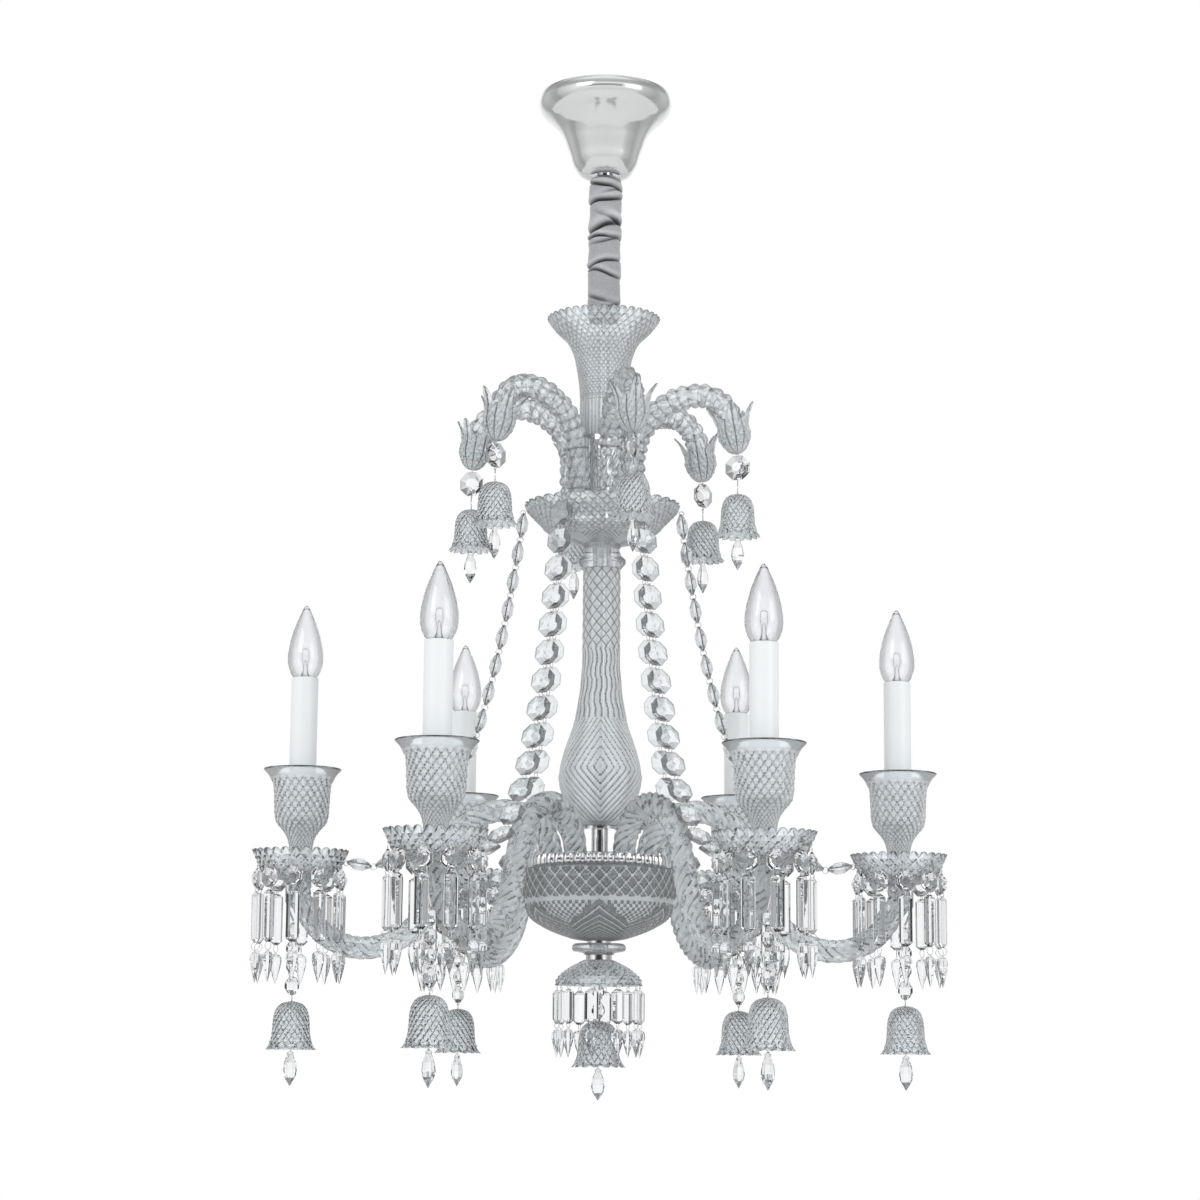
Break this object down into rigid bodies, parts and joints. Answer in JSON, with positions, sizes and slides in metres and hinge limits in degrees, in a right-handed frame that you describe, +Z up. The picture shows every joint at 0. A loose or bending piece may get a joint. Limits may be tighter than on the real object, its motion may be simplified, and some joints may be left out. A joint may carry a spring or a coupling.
{
  "type": "crystal chandelier",
  "caption": "Ceiling chandelier with curved cut-crystal arms, candle lamps, prism-hung drip pans, bead garlands, tulip-tipped upper arms, glass bells and a chain in a velvet sleeve.",
  "frame": {"origin": "centre of the two bolt holes on the ceiling plate's top face, where the plate meets the ceiling", "axes": "+Z up into the ceiling, the chandelier hangs along -Z; +X through one lower arm, the front of the picture faces -Y"},
  "size_m": [0.6758, 0.5992, 1.0044],
  "materials": {
    "crystal": "cut and polished clear crystal",
    "bulb_glass": "clear thin glass",
    "chrome": "mirror",
    "steel_plate": "zinc-plated",
    "velvet": "gathered grey velvet",
    "candle_white": "smooth white",
    "holder_plastic": "moulded",
    "brass_thread": "threaded",
    "cable_sheath": "clear-grey flex",
    "terminal_plastic": "moulded"
  },
  "bodies": {
    "ceiling": {"ceiling_plate": "steel_plate", "canopy": "chrome", "canopy_loop": "chrome", "terminal_block": "terminal_plastic"},
    "top_link": {"chain_top_link": "chrome"},
    "chain": {"chain_links": "chrome", "power_cable": "cable_sheath", "chain_sleeve": "velvet"},
    "frame": {"top_eye": "chrome", "centre_pipe": "chrome", "top_vase": "crystal", "upper_hub": "chrome", "upper_arms": "crystal", "upper_tulips": "crystal", "upper_dish": "crystal", "neck_ring": "crystal", "baluster": "crystal", "arm_plate": "chrome", "main_bowl": "crystal", "spool_rings": "chrome", "bowl_spool": "crystal", "bottom_dome": "crystal", "finial_nut": "chrome", "dome_strands": "crystal", "lower_arms": "crystal", "lamp_wires": "cable_sheath", "bobeches": "crystal", "candle_cups": "crystal", "candle_tubes": "candle_white", "lamp_holders": "holder_plastic", "arm_nipples": "brass_thread", "bobeche_strands": "crystal", "bell_hooks": "chrome"},
    "bulb_1": {"bulb_1": "bulb_glass"},
    "bulb_2": {"bulb_2": "bulb_glass"},
    "bulb_3": {"bulb_3": "bulb_glass"},
    "bulb_4": {"bulb_4": "bulb_glass"},
    "bulb_5": {"bulb_5": "bulb_glass"},
    "bulb_6": {"bulb_6": "bulb_glass"},
    "garland_1": {"garland_1": "crystal"},
    "garland_2": {"garland_2": "crystal"},
    "garland_3": {"garland_3": "crystal"},
    "garland_4": {"garland_4": "crystal"},
    "garland_5": {"garland_5": "crystal"},
    "garland_6": {"garland_6": "crystal"},
    "lower_bell_1": {"lower_bell_1": "crystal"},
    "lower_bell_2": {"lower_bell_2": "crystal"},
    "lower_bell_3": {"lower_bell_3": "crystal"},
    "lower_bell_4": {"lower_bell_4": "crystal"},
    "lower_bell_5": {"lower_bell_5": "crystal"},
    "lower_bell_6": {"lower_bell_6": "crystal"},
    "upper_bell_1": {"upper_bell_1": "crystal"},
    "upper_bell_2": {"upper_bell_2": "crystal"},
    "upper_bell_3": {"upper_bell_3": "crystal"},
    "upper_bell_4": {"upper_bell_4": "crystal"},
    "upper_bell_5": {"upper_bell_5": "crystal"},
    "upper_bell_6": {"upper_bell_6": "crystal"},
    "centre_bell": {"centre_bell": "crystal"}
  },
  "joints": [
    {"name": "chain_sway_x", "type": "hinge", "parent": "ceiling", "child": "top_link", "pos_m": [0, 0, -0.105], "axis": [1, 0, 0], "range_deg": [-5, 5]},
    {"name": "chain_sway_y", "type": "hinge", "parent": "top_link", "child": "chain", "pos_m": [0, 0, -0.1215], "axis": [0, 1, 0], "range_deg": [-5, 5]},
    {"name": "frame_turn", "type": "hinge", "parent": "chain", "child": "frame", "pos_m": [0, 0, -0.2349], "axis": [0, 0, 1], "range_deg": [-30, 30]},
    {"name": "bulb_1_out", "type": "slide", "parent": "frame", "child": "bulb_1", "axis": [0, 0, 1], "range_m": [0, 0.03]},
    {"name": "bulb_2_out", "type": "slide", "parent": "frame", "child": "bulb_2", "axis": [0, 0, 1], "range_m": [0, 0.03]},
    {"name": "bulb_3_out", "type": "slide", "parent": "frame", "child": "bulb_3", "axis": [0, 0, 1], "range_m": [0, 0.03]},
    {"name": "bulb_4_out", "type": "slide", "parent": "frame", "child": "bulb_4", "axis": [0, 0, 1], "range_m": [0, 0.03]},
    {"name": "bulb_5_out", "type": "slide", "parent": "frame", "child": "bulb_5", "axis": [0, 0, 1], "range_m": [0, 0.03]},
    {"name": "bulb_6_out", "type": "slide", "parent": "frame", "child": "bulb_6", "axis": [0, 0, 1], "range_m": [0, 0.03]},
    {"name": "garland_1_swing", "type": "hinge", "parent": "frame", "child": "garland_1", "pos_m": [0.0771, 0, -0.4314], "axis": [0.4384, 0, -0.8988], "range_deg": [-8, 8]},
    {"name": "garland_2_swing", "type": "hinge", "parent": "frame", "child": "garland_2", "pos_m": [0.03855, 0.06677, -0.4314], "axis": [0.2192, 0.3797, -0.8988], "range_deg": [-8, 8]},
    {"name": "garland_3_swing", "type": "hinge", "parent": "frame", "child": "garland_3", "pos_m": [-0.03855, 0.06677, -0.4314], "axis": [-0.2192, 0.3797, -0.8988], "range_deg": [-8, 8]},
    {"name": "garland_4_swing", "type": "hinge", "parent": "frame", "child": "garland_4", "pos_m": [-0.0771, 0, -0.4314], "axis": [-0.4384, 0, -0.8988], "range_deg": [-8, 8]},
    {"name": "garland_5_swing", "type": "hinge", "parent": "frame", "child": "garland_5", "pos_m": [-0.03855, -0.06677, -0.4314], "axis": [-0.2192, -0.3797, -0.8988], "range_deg": [-8, 8]},
    {"name": "garland_6_swing", "type": "hinge", "parent": "frame", "child": "garland_6", "pos_m": [0.03855, -0.06677, -0.4314], "axis": [0.2192, -0.3797, -0.8988], "range_deg": [-8, 8]},
    {"name": "lower_bell_1_swing", "type": "hinge", "parent": "frame", "child": "lower_bell_1", "pos_m": [0.295, 0, -0.836], "axis": [0, 1, 0], "range_deg": [-8, 8]},
    {"name": "lower_bell_2_swing", "type": "hinge", "parent": "frame", "child": "lower_bell_2", "pos_m": [0.1475, 0.25548, -0.836], "axis": [-0.866, 0.5, 0], "range_deg": [-8, 8]},
    {"name": "lower_bell_3_swing", "type": "hinge", "parent": "frame", "child": "lower_bell_3", "pos_m": [-0.1475, 0.25548, -0.836], "axis": [-0.866, -0.5, 0], "range_deg": [-8, 8]},
    {"name": "lower_bell_4_swing", "type": "hinge", "parent": "frame", "child": "lower_bell_4", "pos_m": [-0.295, 0, -0.836], "axis": [0, -1, 0], "range_deg": [-8, 8]},
    {"name": "lower_bell_5_swing", "type": "hinge", "parent": "frame", "child": "lower_bell_5", "pos_m": [-0.1475, -0.25548, -0.836], "axis": [0.866, -0.5, 0], "range_deg": [-8, 8]},
    {"name": "lower_bell_6_swing", "type": "hinge", "parent": "frame", "child": "lower_bell_6", "pos_m": [0.1475, -0.25548, -0.836], "axis": [0.866, 0.5, 0], "range_deg": [-8, 8]},
    {"name": "upper_bell_1_swing", "type": "hinge", "parent": "frame", "child": "upper_bell_1", "pos_m": [0.13185, -0.04284, -0.38035], "axis": [0.309, 0.9511, 0], "range_deg": [-8, 8]},
    {"name": "upper_bell_2_swing", "type": "hinge", "parent": "frame", "child": "upper_bell_2", "pos_m": [0.10302, 0.09276, -0.38035], "axis": [-0.6691, 0.7431, 0], "range_deg": [-8, 8]},
    {"name": "upper_bell_3_swing", "type": "hinge", "parent": "frame", "child": "upper_bell_3", "pos_m": [-0.02882, 0.1356, -0.38035], "axis": [-0.9781, -0.2079, 0], "range_deg": [-8, 8]},
    {"name": "upper_bell_4_swing", "type": "hinge", "parent": "frame", "child": "upper_bell_4", "pos_m": [-0.13185, 0.04284, -0.38035], "axis": [-0.309, -0.9511, 0], "range_deg": [-8, 8]},
    {"name": "upper_bell_5_swing", "type": "hinge", "parent": "frame", "child": "upper_bell_5", "pos_m": [-0.10302, -0.09276, -0.38035], "axis": [0.6691, -0.7431, 0], "range_deg": [-8, 8]},
    {"name": "upper_bell_6_swing", "type": "hinge", "parent": "frame", "child": "upper_bell_6", "pos_m": [0.02882, -0.1356, -0.38035], "axis": [0.9781, 0.2079, 0], "range_deg": [-8, 8]},
    {"name": "centre_bell_swing", "type": "hinge", "parent": "frame", "child": "centre_bell", "pos_m": [0, 0, -0.8925], "axis": [1, 0, 0], "range_deg": [-5, 5]}
  ]
}
